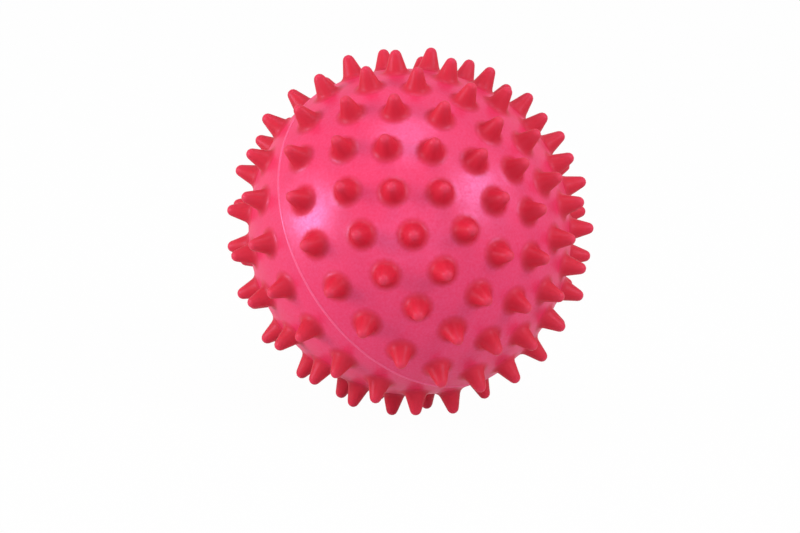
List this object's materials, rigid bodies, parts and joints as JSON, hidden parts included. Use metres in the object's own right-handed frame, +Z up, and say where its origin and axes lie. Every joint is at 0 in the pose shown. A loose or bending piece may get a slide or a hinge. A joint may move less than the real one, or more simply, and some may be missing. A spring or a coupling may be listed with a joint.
{
  "type": "sensory ball",
  "caption": "Hollow soft ball with rings of blunt domed spikes all over, moulded as two halves welded at a raised seam, with an air valve closed by a pull-out plug.",
  "frame": {"origin": "on the surface that the ball rests on, straight under the ball's middle", "axes": "+Z up off the surface, -Y towards the viewer of the picture, +X to the viewer's right"},
  "size_m": [0.0993, 0.0998, 0.0989],
  "materials": {
    "shell": "pearly satin vinyl",
    "seam": "satin vinyl",
    "valve": "satin vinyl",
    "plug": "satin vinyl"
  },
  "bodies": {
    "ball": {"front_shell": "shell", "back_shell": "shell", "seam_bead": "seam", "valve_body": "valve"},
    "plug": {"valve_plug": "plug"}
  },
  "joints": [
    {"name": "plug_pull", "type": "slide", "parent": "ball", "child": "plug", "axis": [-0.5896, 0.5615, -0.5806], "range_m": [0, 0.012]}
  ]
}
